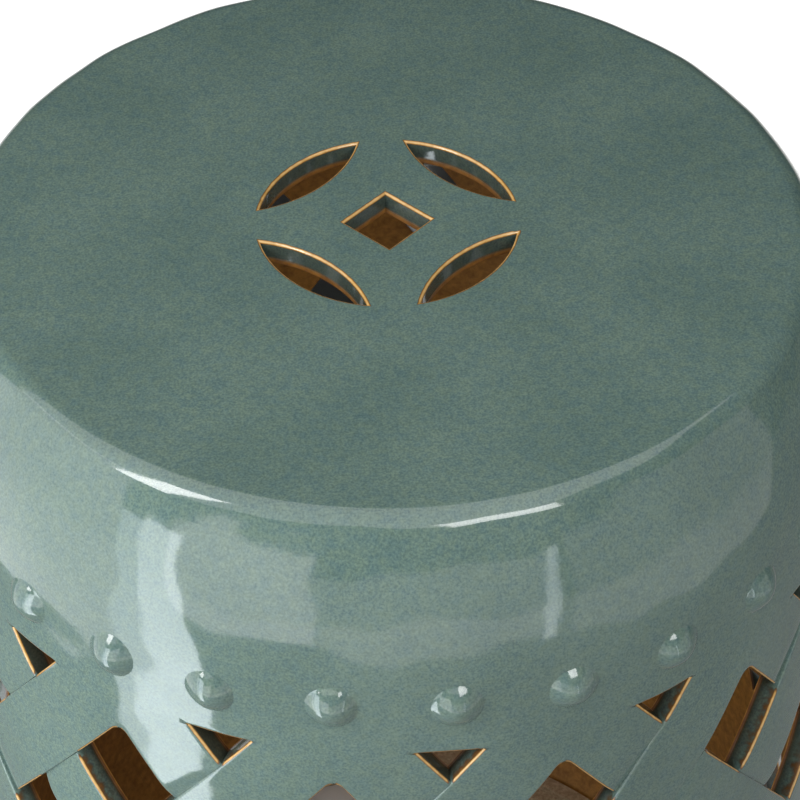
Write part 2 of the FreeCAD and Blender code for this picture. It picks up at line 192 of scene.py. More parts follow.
# %% [markdown]
# ## The barrel's side view
#
# The wall is a solid of revolution. Its outline has one long, nearly straight arc, and at the
# top and bottom a short arc that turns the shoulder in. The lower half mirrors the upper. Every
# piece of the wall asks the same function for its radius, so the pieces meet without a step.

# %% The outline of the wall
HEIGHT = 457 * MM
MIDDLE = HEIGHT / 2
BELLY = 175 * MM
LONG_ARC = 2310 * MM
SHOULDER_ARC = 110 * MM
RIM = BELLY - 23 * MM
SEAT_THICK = 9 * MM
WALL = 8 * MM

long_centre = Vector((BELLY - LONG_ARC, 0))
rim_point = Vector((RIM, MIDDLE - SEAT_THICK))
reach = (rim_point - long_centre).length
along = (reach ** 2 + (LONG_ARC - SHOULDER_ARC) ** 2 - SHOULDER_ARC ** 2) / (2 * reach)
aside = math.sqrt((LONG_ARC - SHOULDER_ARC) ** 2 - along ** 2)
towards = (rim_point - long_centre).normalized()
shoulder_centre = long_centre + towards * along - Vector((-towards.y, towards.x)) * aside
lean = math.asin((shoulder_centre - long_centre).normalized().y)


def wall_radius(height, depth=0.0):
    """Radius of the wall at a height, that deep in the clay."""
    up = abs(height - MIDDLE)
    if up > (LONG_ARC - depth) * math.sin(lean):
        rise = up - shoulder_centre.y
        return shoulder_centre.x + math.sqrt((SHOULDER_ARC - depth) ** 2 - rise ** 2)
    return long_centre.x + math.sqrt((LONG_ARC - depth) ** 2 - up ** 2)


print("radius under the seat, where the shoulder starts, and at the belly, mm:",
      [round(wall_radius(height) / MM, 1)
       for height in (HEIGHT - SEAT_THICK, MIDDLE + LONG_ARC * math.sin(lean), MIDDLE)])

# %% [markdown]
# ## Uneven clay
#
# Clay thrown and luted by hand is never true. The wall wanders in and out by a fraction of a
# millimetre, which nobody sees in the outline, but a glossy glaze mirrors the room, and each
# small slope bends that picture into patches and ragged edges. A sum of sine ripples, each with a
# whole number of turns round the stool, gives such a surface with no seam. It pulls the belly in
# by half a millimetre, so the widest part stays inside the measured size.

# %% Ripples in the wall
LONG_RIPPLES = {"count": 9, "shortest": 38 * MM, "longest": 75 * MM, "depth": 0.20 * MM}
SHORT_RIPPLES = {"count": 9, "shortest": 15 * MM, "longest": 27 * MM, "depth": 0.05 * MM}
MEAN_RADIUS = 165 * MM
BELLY_PULL = 0.5 * MM
BELLY_REACH = 70 * MM

dice = random.Random(28)


def draw_ripples(count, shortest, longest, depth):
    """Random sine ripples: turns round the stool, climb, phase and depth of each."""
    drawn = []
    for _ in range(count):
        length = dice.uniform(shortest, longest)
        heading = dice.uniform(0, math.pi)
        turns = round(2 * math.pi * MEAN_RADIUS * math.cos(heading) / length)
        climb = 2 * math.pi * math.sin(heading) / length
        drawn.append((turns, climb, dice.uniform(0, 2 * math.pi), depth / math.sqrt(count / 2)))
    return drawn


ripples = draw_ripples(**LONG_RIPPLES) + draw_ripples(**SHORT_RIPPLES)


def waver(angle, height):
    """How far the uneven wall lies outside the true one, less at the belly."""
    wave = sum(size * math.sin(turns * angle + climb * height + phase)
               for turns, climb, phase, size in ripples)
    belly = math.exp(-(((height - MIDDLE) / BELLY_REACH) ** 2))
    return wave - belly * (BELLY_PULL + max(wave, 0))


def on_wall(angle, height, depth):
    """The point at an angle and a height, that deep in the uneven wall."""
    radius = wall_radius(height, depth) + waver(angle, height)
    return Vector((radius * math.cos(angle), radius * math.sin(angle), height))


samples = [waver(math.radians(turn), HEIGHT - 45 * MM) / MM for turn in range(360)]
print("waver at the shoulder, mm:", round(min(samples), 2), "to", round(max(samples), 2))

# %% [markdown]
# ## The seat slab
#
# The seat is a flat disc whose edge rolls over into the shoulder. It starts as a short cylinder
# with 336 sides, twelve for each column of the lattice, so it stays round up close. Its top is
# drawn in to the slope of the shoulder, and one wide bevel rolls the edge. Underneath, two insets
# and an extrusion make the lip that locates the slab in the wall.

# %% Model the slab
AROUND = 336
SEAT_EDGE_ARC = 8.2 * MM
FLAT_RADIUS = 141.8 * MM
LIP_OUTER = RIM - 10 * MM
LIP_WIDTH = 6 * MM
LIP_DEPTH = 5 * MM

shoulder_slope = (rim_point.y - shoulder_centre.y) / SHOULDER_ARC
top_angle = math.pi / 2 - math.asin(shoulder_slope)
edge_setback = SEAT_EDGE_ARC * math.tan(top_angle / 2)
bpy.ops.mesh.primitive_cylinder_add(vertices=AROUND, radius=RIM, depth=SEAT_THICK,
                                    location=(0, 0, HEIGHT - SEAT_THICK / 2))
seat = begin("seat")
pick("FACE", lambda face: face.normal.z > 0.9)
draw_in = (FLAT_RADIUS + edge_setback) / RIM
bpy.ops.transform.resize(value=(draw_in, draw_in, 1), center_override=(0, 0, HEIGHT))
pick("EDGE", lambda edge: all(corner.co.z > HEIGHT - MM for corner in edge.verts))
bpy.ops.mesh.bevel(offset=edge_setback, segments=10, profile=0.5, affect="EDGES")
pick("FACE", lambda face: face.normal.z < -0.9)
bpy.ops.mesh.inset(thickness=RIM - LIP_OUTER)
bpy.ops.mesh.inset(thickness=LIP_WIDTH)
pick("FACE", lambda face: face.normal.z < -0.9
     and LIP_OUTER - LIP_WIDTH < face.calc_center_median().xy.length < LIP_OUTER)
bpy.ops.mesh.extrude_region_move(TRANSFORM_OT_translate={"value": (0, 0, -LIP_DEPTH)})
close_all()
print("slab:", len(seat.data.polygons), "faces; edge setback, mm:", round(edge_setback / MM, 2))

# %% [markdown]
# ## The coin, cut through the slab
#
# The pattern is an old coin: a square hole between four leaves. Each leaf is where two discs
# overlap, so its cutter is made the same way, by keeping only what two cylinders share. The
# square's cutter is a cylinder with four sides. A boolean then cuts each through the slab, as a
# knife would cut the soft clay.

# %% Make the cutters and cut
COIN_RADIUS = 45.2 * MM
LEAF_HALF_ANGLE = math.radians(33.3)
LEAF_INNER_ARC = 48.4 * MM
SQUARE_DIAGONAL = 30 * MM
CUT_LENGTH = 40 * MM


def keep_shared(piece, other, operation):
    """Combines piece with other by a boolean, and removes other."""
    tool = piece.modifiers.new("cut", "BOOLEAN")
    tool.operation = operation
    tool.object = other
    tool.solver = "EXACT"
    apply_modifiers(piece)
    remove(other)


def leaf_cutter(direction):
    """A tall lens whose long axis lies across that direction."""
    tips = COIN_RADIUS * math.cos(LEAF_HALF_ANGLE)
    half_length = COIN_RADIUS * math.sin(LEAF_HALF_ANGLE)
    far = tips + math.sqrt(LEAF_INNER_ARC ** 2 - half_length ** 2)
    close_all()
    bpy.ops.mesh.primitive_cylinder_add(vertices=256, radius=COIN_RADIUS, depth=CUT_LENGTH,
                                        location=(0, 0, HEIGHT))
    lens = begin("leaf_cutter")
    close_all()
    centre = (far * math.cos(direction), far * math.sin(direction), HEIGHT)
    bpy.ops.mesh.primitive_cylinder_add(vertices=256, radius=LEAF_INNER_ARC,
                                        depth=CUT_LENGTH * 1.2, location=centre)
    other = begin("leaf_cutter_other")
    close_all()
    keep_shared(lens, other, "INTERSECT")
    return lens


for number in range(4):
    keep_shared(seat, leaf_cutter(math.radians(45 + 90 * number)), "DIFFERENCE")
close_all()
bpy.ops.mesh.primitive_cylinder_add(vertices=4, radius=SQUARE_DIAGONAL / 2, depth=CUT_LENGTH,
                                    location=(0, 0, HEIGHT))
square_cutter = begin("square_cutter")
close_all()
keep_shared(seat, square_cutter, "DIFFERENCE")
print("slab with the coin:", len(seat.data.polygons), "faces")

# %% [markdown]
# ## Soft arrises round the coin
#
# A sponge rounds each cut edge while the clay is soft. The bevel picks only the edges between
# the flat face and a hole's wall. Clamping is off, because the tiny edges at the leaves' tips
# would hold every bevel back. Two level cuts, deep in the holes, leave vertices for the change
# from the outer glaze to the inner.

# %% Round the arrises
ARRIS = 1.25 * MM
LOWER_ARRIS = 0.6 * MM
COIN_REACH = 60 * MM
COAT_CUTS = (6.0 * MM, 7.4 * MM)


def hole_arris(edge, level):
    """Whether an edge lies at that level, between a flat face and the wall of a hole."""
    if any(abs(corner.co.z - level) > SAME_PLACE for corner in edge.verts):
        return False
    if len(edge.link_faces) != 2 or middle_of(edge).xy.length > COIN_REACH:
        return False
    upright = [abs(face.normal.z) for face in edge.link_faces]
    return max(upright) > 0.9 and min(upright) < 0.1


open_piece(seat)
found = pick("EDGE", lambda edge: hole_arris(edge, HEIGHT))
bpy.ops.mesh.bevel(offset=ARRIS, segments=5, profile=0.5, affect="EDGES", clamp_overlap=False)
found_lower = pick("EDGE", lambda edge: hole_arris(edge, HEIGHT - SEAT_THICK))
bpy.ops.mesh.bevel(offset=LOWER_ARRIS, segments=2, profile=0.5, affect="EDGES", clamp_overlap=False)
for depth in COAT_CUTS:
    slice_at((0, 0, HEIGHT - depth), (0, 0, 1))
close_all()
print("arris edges:", found, "above and", found_lower, "below")

# %% [markdown]
# ## Marks for the glaze
#
# Later the finish needs to know three places: the ridge of an arris, where glaze runs thin, the
# inside, which gets another coat, and the side of an opening, where shade is painted into the
# colour, partly for glaze that pools there and partly for the shade in the opening. A vertex
# attribute keeps each of them as a number from 0 to 1. All pieces of the wall use these marks.

# %% Helpers to mark a piece
COAT_START = 6.2 * MM
COAT_FADE = 1.2 * MM


def mark(piece, name, values):
    """Keeps one number for each vertex, for the finish to read."""
    attribute = piece.data.attributes.new(name, "FLOAT", "POINT")
    attribute.data.foreach_set("value", values)


def ridge(depth, radius):
    """1 in the middle of a rounded arris, 0 where it meets the two faces."""
    if depth < 0 or depth > radius:
        return 0.0
    return math.sin(2 * math.acos(1 - depth / radius))


def inner_coat(depth):
    """1 on the inside of the clay and 0 outside; the change comes deep in an opening."""
    return ease((depth - COAT_START) / COAT_FADE)


def opening_side_shade(depth, arris, thickness):
    """1 on the side of an opening, below its outer arris, where shade is painted into the glaze."""
    return 1.0 if 0.9 * arris < depth < thickness - 0.1 * MM else 0.0


print("the ridge's mark a third of the way in:", round(ridge(ARRIS / 3, ARRIS), 2))

# %% [markdown]
# The slab's rolled edge takes up the unevenness of the wall, and its flat stays flat. The holes in
# the seat get more light than those in the wall, so their sides are marked less dark.

# %% Finish the slab
ROLL_FADE = 5 * MM
COIN_SIDE_SHADE = 0.6

for vertex in seat.data.vertices:
    out = vertex.co.xy.length
    if out > FLAT_RADIUS:
        angle = math.atan2(vertex.co.y, vertex.co.x)
        moved = out + waver(angle, vertex.co.z) * ease((out - FLAT_RADIUS) / ROLL_FADE)
        vertex.co.x *= moved / out
        vertex.co.y *= moved / out
hole_depths = [HEIGHT - vertex.co.z for vertex in seat.data.vertices]
near_coin = [vertex.co.xy.length < COIN_REACH for vertex in seat.data.vertices]
inside_wall = [vertex.co.xy.length < LIP_OUTER + MM for vertex in seat.data.vertices]
mark(seat, "thin", [ridge(depth, ARRIS) if near else 0.0
                    for depth, near in zip(hole_depths, near_coin)])
mark(seat, "inner", [inner_coat(depth) if inside else 0.0
                     for depth, inside in zip(hole_depths, inside_wall)])
# Painted shade on the sides of the coin's holes, weaker than in the wall's openings.
mark(seat, "side", [COIN_SIDE_SHADE * opening_side_shade(depth, ARRIS, SEAT_THICK) if near else 0.0
                    for depth, near in zip(hole_depths, near_coin)])
smooth(seat, 30)
weights = seat.modifiers.new("flat faces lead", "WEIGHTED_NORMAL")
weights.keep_sharp = True
apply_modifiers(seat)
close_all()
print("slab:", len(seat.data.polygons), "faces,", sum(near_coin), "vertices near the coin")

# %% [markdown]
# ## The plain bands
#
# Each band is a ring with the wall's outline as its section. The section starts as a circle's
# loop of vertices, which are then moved onto the outline, and the spin operator turns the loop
# once round. Spin leaves a double seam, so doubles are merged and the faces turned outwards.

# %% Spin the two bands
BAND_DEPTH = 85 * MM
BAND_STEPS = 34


def spin_ring(name, section):
    """A ring with that closed section, given as pairs of radius and height."""
    close_all()
    bpy.ops.mesh.primitive_circle_add(vertices=len(section), radius=BELLY, location=(0, 0, 0))
    ring = begin(name)
    shape = bmesh.from_edit_mesh(ring.data)
    shape.verts.ensure_lookup_table()
    for vertex, (out, height) in zip(shape.verts, section):
        vertex.co = (out, 0, height)
    bmesh.update_edit_mesh(ring.data)
    bpy.ops.mesh.select_all(action="SELECT")
    bpy.ops.mesh.spin(steps=AROUND, angle=2 * math.pi, center=(0, 0, 0), axis=(0, 0, 1))
    bpy.ops.mesh.select_all(action="SELECT")
    bpy.ops.mesh.remove_doubles(threshold=SAME_PLACE)
    face_outwards()
    close_all()
    return ring


def band_section(low, high):
    """The outline between two heights, out and back at the wall's inside."""
    heights = [low + (high - low) * step / BAND_STEPS for step in range(BAND_STEPS + 1)]
    outside = [(wall_radius(height), height) for height in heights]
    inside = [(wall_radius(height, WALL), height) for height in reversed(heights[::2])]
    return outside + inside


def depth_in_wall(place):
    """How deep a point of the true wall lies, measured level."""
    out = wall_radius(place.z) - place.xy.length
    slope = (wall_radius(place.z) - wall_radius(place.z, WALL)) / WALL
    return out / slope


shoulder_band = spin_ring("shoulder_wall", band_section(HEIGHT - BAND_DEPTH, HEIGHT - SEAT_THICK))
lower_band = spin_ring("lower_wall", band_section(SEAT_THICK, BAND_DEPTH))
for band in (shoulder_band, lower_band):
    print(band.name, len(band.data.polygons), "faces")

# %% [markdown]
# ## The lattice, laid out flat
#
# Fourteen straps rise to the right and fourteen fall, and they weave: at one row of crossings the
# rising straps lie outside, at the next the falling ones. Rolled out flat, a strap's edges and
# the edges of the straps that cross it run in two directions only. So the strap is modelled in
# a skewed flat space, where both directions are at right angles: X goes across the strap, Y
# along it, and Z is the clay's depth. There every cut is square, and a plain bar is a fair
# start. At the end each vertex is carried from this flat space onto the barrel.

# %% Sizes of the lattice
COLUMNS = 28
COLUMN_TURN = 2 * math.pi / COLUMNS
COLUMN = BELLY * COLUMN_TURN
ROWS = 6
FIRST_ROW_DROP = 72.5 * MM
ROW = (HEIGHT - 2 * FIRST_ROW_DROP) / ROWS
SLANT = COLUMN / ROW
STRAP_WIDTH = 30 * MM
HALF = STRAP_WIDTH / 2 * math.sqrt(1 + SLANT ** 2)
PITCH = 2 * COLUMN
LATTICE_TURN = math.radians(3.9 - 90)
HALF_BARREL = MIDDLE - BAND_DEPTH
END = 2 * SLANT * HALF_BARREL
crossings = [PITCH * (ROWS / 2 - row) for row in range(ROWS + 1)]
print("half width of a strap in the flat space, mm:", round(HALF / MM, 2))
print("crossings along it, mm:", [round(place / MM, 1) for place in crossings])

# %% [markdown]
# ## One strap of each kind
#
# The bar gets a half-lap wherever it runs under: a boolean with a block takes off the outer half
# of its thickness. Where it runs over, the inner half comes off. Each block spans exactly the
# width of the strap that crosses there.

# %% Cut the laps
BAR_LENGTH = 2 * (END + 2 * HALF)


def block(centre, size):
    """A block of clay at a place, with all its sides square."""
    bpy.ops.mesh.primitive_cube_add(size=1, location=centre)
    piece = bpy.context.object
    piece.scale = size
    bpy.ops.object.transform_apply(location=True, rotation=False, scale=True)
    return piece


def lapped_bar(name, over_rows):
    """A bar with half of its thickness gone at each crossing, outside or inside."""
    close_all()
    bar = block((0, 0, -WALL / 2), (2 * HALF, BAR_LENGTH, WALL))
    bar.name = name
    for row, place in enumerate(crossings):
        close_all()
        lap = -WALL if row in over_rows else 0.0
        cutter = block((0, place, lap), (3 * HALF, 2 * HALF, WALL))
        keep_shared(bar, cutter, "DIFFERENCE")
    open_piece(bar)
    for centre in crossings:
        slice_at((0, centre - HALF, 0), (0, 1, 0))
        slice_at((0, centre + HALF, 0), (0, 1, 0))
    close_all()
    print(name, "with its laps:", len(bar.data.polygons), "faces")
    return bar


RISING_OVER = (1, 3, 5)
FALLING_OVER = (0, 2, 4, 6)
rising_flat = lapped_bar("rising_flat", RISING_OVER)
falling_flat = lapped_bar("falling_flat", FALLING_OVER)

# %% [markdown]
# The arrises along the openings are sponged round. Bevel weights let one modifier round the outer
# ones widely, the inner ones half as much and the edges at the crossings only slightly.

# %% Round the straps' arrises
OPENING_ARRIS = 1.2 * MM
CROSSING_ARRIS = 0.5 * MM
INNER_SHARE = 0.5
CROSSING_SHARE = CROSSING_ARRIS / OPENING_ARRIS


def zone(place):
    """The row of the crossing that a place along the strap lies in, or None at an opening."""
    for row, centre in enumerate(crossings):
        if abs(place - centre) < HALF:
            return row
    return None


def arris_weight(edge, over_rows):
    """How round an edge of the bar gets: 1 at an opening, little where it crosses over."""
    centre = middle_of(edge)
    lengthwise = abs(edge.verts[0].co.x - edge.verts[1].co.x) < SAME_PLACE
    if not lengthwise or abs(abs(centre.x) - HALF) > SAME_PLACE:
        return 0
    row = zone(centre.y)
    outside = abs(centre.z) < SAME_PLACE
    if row is None and outside:
        return 1
    if row is None and abs(centre.z + WALL) < SAME_PLACE:
        return INNER_SHARE
    if row in over_rows and row not in (0, ROWS) and outside:
        return CROSSING_SHARE
    return 0


def sponge_arrises(bar, over_rows):
    open_piece(bar)
    for weight in (1, INNER_SHARE, CROSSING_SHARE):
        pick("EDGE", lambda edge: abs(arris_weight(edge, over_rows) - weight) < 0.001)
        bpy.ops.transform.edge_bevelweight(value=weight)
    close_all()
    rounding = bar.modifiers.new("sponged arrises", "BEVEL")
    rounding.limit_method = "WEIGHT"
    rounding.width = OPENING_ARRIS
    rounding.segments = 4
    apply_modifiers(bar)
    print(bar.name, "with round arrises:", len(bar.data.polygons), "faces")


sponge_arrises(rising_flat, RISING_OVER)
sponge_arrises(falling_flat, FALLING_OVER)

# %% [markdown]
# A bar needs vertices wherever it will bend. Cuts across it come every 3.1 mm, and closer at the
# openings' top and bottom corners, which get rounded. Cuts along it crowd towards its edges. Last,
# its ends are cut level, where the plain bands begin.

# %% Cut the straps fine
CUT_STEP = 3.1 * MM
CUT_COUNT = 90
CORNER_STEP = 0.75 * MM
CORNER_COUNT = 9
CUT_GAP = 0.4 * MM
LENGTHWISE_CUTS = [place * MM for place in (0, 4, 8, 11.5, 14, 16.2)]


def cut_places():
    """Where the bar is cut across, but never right beside an edge that is there already."""
    places = [(step + 0.5) * CUT_STEP for step in range(-CUT_COUNT, CUT_COUNT)]
    for corner in (crossings[0] - HALF, crossings[ROWS] + HALF):
        places += [corner + step * CORNER_STEP for step in range(-CORNER_COUNT, CORNER_COUNT + 1)]
    borders = [centre + sign * HALF for centre in crossings for sign in (-1, 1)]
    return [place for place in places if min(abs(place - border) for border in borders) > CUT_GAP]


for bar in (rising_flat, falling_flat):
    open_piece(bar)
    for place in cut_places():
        slice_at((0, place, 0), (0, 1, 0))
    for depth in COAT_CUTS:
        slice_at((0, 0, -depth), (0, 0, 1))
    for place in LENGTHWISE_CUTS:
        for sign in (-1, 1):
            slice_at((sign * place, 0, 0), (1, 0, 0))
    slice_at((0, END, 0), (-1, 1, 0), use_fill=True, clear_outer=True)
    slice_at((0, -END, 0), (1, -1, 0), use_fill=True, clear_outer=True)
    close_all()
    print(bar.name, "cut fine:", len(bar.data.polygons), "faces")

# %% [markdown]
# ## Pressed crossings and soft corners
#
# Where a strap dives under another, the thumb presses it down beside the upper strap's edge, and
# glaze darkens that groove. It is deepest on the low side of each crossing and runs out towards
# the high side. At the top corner of the first row of openings, and the bottom corner of the
# last, clay from both straps fills the sharp corner to a small radius. Both are moves of
# vertices in the flat space, by amounts that fade out to nothing.

# %% Press and fill the clay
GROOVE_DEPTH = 1.5 * MM
GROOVE_WIDTH = 12 * MM
CORNER_ARC = 4.0 * MM
CORNER_FADE = 8 * MM
PRESS_REACH = 0.45 * WALL
RUN_OUT = 0.8

half_corner = math.atan2(COLUMN - HALF, ROW - HALF / SLANT)


def groove(across, place, over_rows):
    """How far a strap is pressed in, beside the edge of the strap that crosses over it."""
    deepest = 0.0
    for row, centre in enumerate(crossings):
        if row in over_rows or row in (0, ROWS):
            continue
        gap = abs(place - centre) - HALF
        if gap < -SAME_PLACE or gap > GROOVE_WIDTH:
            continue
        low_side = min(max((across + HALF) / (2 * HALF), 0.0), 1.0)
        if row == ROWS - 1:
            low_side = 1 - low_side
        strength = low_side ** RUN_OUT if row in (1, ROWS - 1) else 0.5 + 0.5 * low_side
        deepest = max(deepest, GROOVE_DEPTH * strength * (1 - max(gap, 0) / GROOVE_WIDTH) ** 2)
    return deepest


def corner_shift(across, place):
    """How far down, or up at the last row, a point moves to fill an opening's corner."""
    shift = 0.0
    for sign, corner_across, corner_place in ((1, HALF, crossings[0] - HALF),
                                              (-1, -HALF, crossings[ROWS] + HALF)):
        aside = abs((across - corner_across) + (place - corner_place)) / 2
        rise = sign * ((place - corner_place) - (across - corner_across)) / (2 * SLANT)
        if aside >= CORNER_ARC * math.cos(half_corner):
            continue
        edge = -aside / math.tan(half_corner)
        arc = math.sqrt(CORNER_ARC ** 2 - aside ** 2) - CORNER_ARC / math.sin(half_corner)
        fade = 1 - min(max(rise - edge, 0.0) / CORNER_FADE, 1.0)
        shift += sign * (arc - edge) * fade
    return shift


print("corner fill, mm:", round(corner_shift(HALF, crossings[0] - HALF) / MM, 2))

# %% [markdown]
# ## Carry the straps onto the barrel
#
# A bend tool can turn a bar round one axis only, and this wall curves two ways. So the bending is
# done point by point: the flat place gives an angle and a height, and the outline gives the
# radius. Each copy has its own mesh and lies over its own stretch of uneven wall. The marks are
# worked out in the flat space, where a point's depth and its distance from an edge are plain.

# %% Helpers to bend and mark a strap
MARK_FADE = 1.5 * MM


def bent(co, over_rows, mirror, turn):
    """The place on the barrel of a point of the flat strap."""
    across, place = co.x, co.y
    depth = -co.z
    if depth < PRESS_REACH:
        depth += groove(across, place, over_rows) * (1 - depth / PRESS_REACH)
    sideways = (across + place) / 2 * mirror
    height = MIDDLE + (place - across) / (2 * SLANT) + corner_shift(across, place)
    return on_wall(turn + sideways / BELLY, height, depth)


def strap_marks(co):
    """The thin, inner and side marks of a point of the flat strap; the side mark is painted shade."""
    gap = min(abs(co.y - centre) - HALF for centre in crossings)
    near_edge = abs(co.x) > HALF - 1.3 * OPENING_ARRIS
    at_edge = abs(co.x) > HALF - SAME_PLACE
    thin = ridge(-co.z, OPENING_ARRIS) * ease(gap / MARK_FADE) if near_edge else 0.0
    # The side of an opening gets painted shade.
    side = opening_side_shade(-co.z, OPENING_ARRIS, WALL) if at_edge else 0.0
    return thin, inner_coat(-co.z), side


print("a point 1 mm in, beside an opening:", strap_marks(Vector((HALF, 0.5 * PITCH, -MM))))

# %% [markdown]
# Falling straps are the mirror image of rising ones, apart from the rows where they lie outside.
# The mirror turns their faces inside out, so the normals are worked out again.

# %% Bend and copy the straps
def hang_straps(flat, label, over_rows, mirror):
    thin, inner, side = zip(*[strap_marks(vertex.co) for vertex in flat.data.vertices])
    straps = []
    for number in range(COLUMNS // 2):
        take(flat)
        bpy.ops.object.duplicate(linked=False)
        strap = bpy.context.object
        strap.name = f"{label}_{number + 1:02d}_glazed"
        strap.data.name = strap.name
        turn = LATTICE_TURN + number * 2 * COLUMN_TURN
        for vertex in strap.data.vertices:
            vertex.co = bent(vertex.co, over_rows, mirror, turn)
        mark(strap, "thin", thin)
        mark(strap, "inner", inner)
        # The side mark holds the painted shade on the sides of the openings.
        mark(strap, "side", side)
        open_piece(strap)
        face_outwards()
        close_all()
        smooth(strap, 35)
        straps.append(strap)
    remove(flat)
    print(label, len(straps), "straps of", len(straps[0].data.polygons), "faces")
    return straps


rising = hang_straps(rising_flat, "rising_strap", RISING_OVER, 1)
falling = hang_straps(falling_flat, "falling_strap", FALLING_OVER, -1)

# %% [markdown]
# ## Finish the bands
#
# The bands follow the same uneven wall. Their edge is also the top side of each triangular
# opening, and only there it gets a rounded arris. That is picked by angle: the triangles sit at
# the even columns, as wide as the opening is at the band's edge.

# %% Round the triangles' top edges and make the bands uneven
TRIANGLE_TRIM = 0.002

triangle_drop = ROW * ROWS / 2 - HALF_BARREL
triangle_half = (COLUMN - HALF) * (1 - triangle_drop / (ROW - HALF / SLANT)) / BELLY


def at_triangle(place):
    """Whether a place is at the angle of a triangle, just short of its tips."""
    angle = (math.atan2(place.y, place.x) - LATTICE_TURN) % (2 * COLUMN_TURN)
    return min(angle, 2 * COLUMN_TURN - angle) < triangle_half - TRIANGLE_TRIM


def triangle_edge(edge, height):
    """Whether an edge is the outer edge of a band at that height, over a triangle."""
    if any(abs(corner.co.z - height) > SAME_PLACE for corner in edge.verts):
        return False
    if any(corner.co.xy.length < wall_radius(height) - MM for corner in edge.verts):
        return False
    return at_triangle(middle_of(edge))


def finish_band(band, edge_height):
    open_piece(band)
    picked = pick("EDGE", lambda edge: triangle_edge(edge, edge_height))
    bpy.ops.mesh.bevel(offset=OPENING_ARRIS, segments=4, profile=0.5, affect="EDGES")
    close_all()
    thin, inner, side = [], [], []
    for vertex in band.data.vertices:
        depth = depth_in_wall(vertex.co)
        from_edge = abs(vertex.co.z - edge_height)
        beside = at_triangle(vertex.co) and from_edge < OPENING_ARRIS
        thin.append(ridge(depth, OPENING_ARRIS) if beside else 0.0)
        inner.append(inner_coat(depth))
        # Painted shade on the band's cut edge, where it borders the openings.
        side.append(opening_side_shade(depth, OPENING_ARRIS, WALL) if from_edge < SAME_PLACE else 0.0)
        angle = math.atan2(vertex.co.y, vertex.co.x)
        out = vertex.co.xy.length
        moved = out + waver(angle, vertex.co.z)
        vertex.co.x *= moved / out
        vertex.co.y *= moved / out
    mark(band, "thin", thin)
    mark(band, "inner", inner)
    mark(band, "side", side)
    smooth(band, 35)
    print(band.name, "arris edges at the triangles:", picked)


finish_band(shoulder_band, HEIGHT - BAND_DEPTH)
finish_band(lower_band, BAND_DEPTH)

# %% [markdown]
# ## The bosses
#
# Round studs of clay are pressed on the bands, one above each column of the lattice. Such a stud
# is a round dome that meets the wall at a slant, and its rim is sunk a little into the wall, so
# no gap shows. One is modelled from half a sphere.

# %% Model one boss
BOSS_SKIRT = 9.2 * MM
BOSS_HEIGHT = 4.3 * MM
BOSS_CURVE = 1.3
BOSS_SUNK = 0.3 * MM


def boss_rise(share):
    """Height of the dome at a share of the way from its middle to its rim."""
    dome = BOSS_HEIGHT * max(1 - share ** 2, 0.0) ** BOSS_CURVE
    return dome - BOSS_SUNK * ease(4 * share - 3)


close_all()
bpy.ops.mesh.primitive_uv_sphere_add(segments=28, ring_count=28, radius=1, location=(0, 0, 0))
flat_boss = begin("flat_boss")
slice_at((0, 0, 0), (0, 0, 1), clear_inner=True)
close_all()
for vertex in flat_boss.data.vertices:
    share = math.asin(min(vertex.co.xy.length, 1.0)) / (math.pi / 2)
    spread = BOSS_SKIRT * share / max(vertex.co.xy.length, 1e-6)
    vertex.co = (vertex.co.x * spread, vertex.co.y * spread, boss_rise(share))
print("boss:", len(flat_boss.data.polygons), "faces")

# %% [markdown]
# Each copy is carried onto the uneven wall. They were set by hand, so each sits a millimetre or so
# from its mark and is a little fuller or flatter. The eight at the front have their own offsets,
# in millimetres along the wall and up it, and the rest are drawn from seeded dice.

# %% Carry the bosses onto the bands
BOSS_DROP = 62.5 * MM
HAND_ERROR = 0.8
HAND_SWELL = 0.06
FRONT_BOSS_OFFSETS = {24: (-1.8, -3.0), 25: (-1.7, -3.4), 26: (-3.2, -3.4), 27: (-0.6, -1.8),
                      0: (2.3, -1.8), 1: (3.4, -4.0), 2: (4.6, -4.5), 3: (6.0, -4.0)}


def wall_slope(height):
    return (wall_radius(height + MM) - wall_radius(height - MM)) / (2 * MM)


def boss_on_wall(co, angle, height):
    """Places a point of the flat boss: along the wall first, then out from it."""
    spot_height = height + co.y / math.sqrt(1 + wall_slope(height) ** 2)
    spot_angle = angle + co.x / wall_radius(spot_height)
    slope = wall_slope(spot_height)
    outwards = Vector((math.cos(spot_angle), math.sin(spot_angle), -slope)).normalized()
    return on_wall(spot_angle, spot_height, 0) + outwards * co.z


def hang_bosses(name, height, offsets, seed):
    hand = random.Random(seed)
    bosses = []
    for number in range(COLUMNS):
        take(flat_boss)
        bpy.ops.object.duplicate(linked=False)
        boss = bpy.context.object
        by_hand = (hand.gauss(0, HAND_ERROR), hand.gauss(0, HAND_ERROR))
        along_wall, up_wall = offsets.get(number, by_hand)
        swell = 1 + hand.uniform(-HAND_SWELL, HAND_SWELL)
        angle = LATTICE_TURN + number * COLUMN_TURN + along_wall * MM / wall_radius(height)
        for vertex in boss.data.vertices:
            swollen = Vector((vertex.co.x, vertex.co.y, vertex.co.z * swell))
            vertex.co = boss_on_wall(swollen, angle, height + up_wall * MM)
        bosses.append(boss)
    take(bosses[0])
    for boss in bosses:
        boss.select_set(True)
    bpy.ops.object.join()
    joined = bpy.context.object
    joined.name = name
    joined.data.name = name
    for unused in ("thin", "inner", "side"):
        mark(joined, unused, [0.0] * len(joined.data.vertices))
    open_piece(joined)
    face_outwards()
    close_all()
    smooth(joined, 60)
    print(name, len(joined.data.polygons), "faces")
    return joined


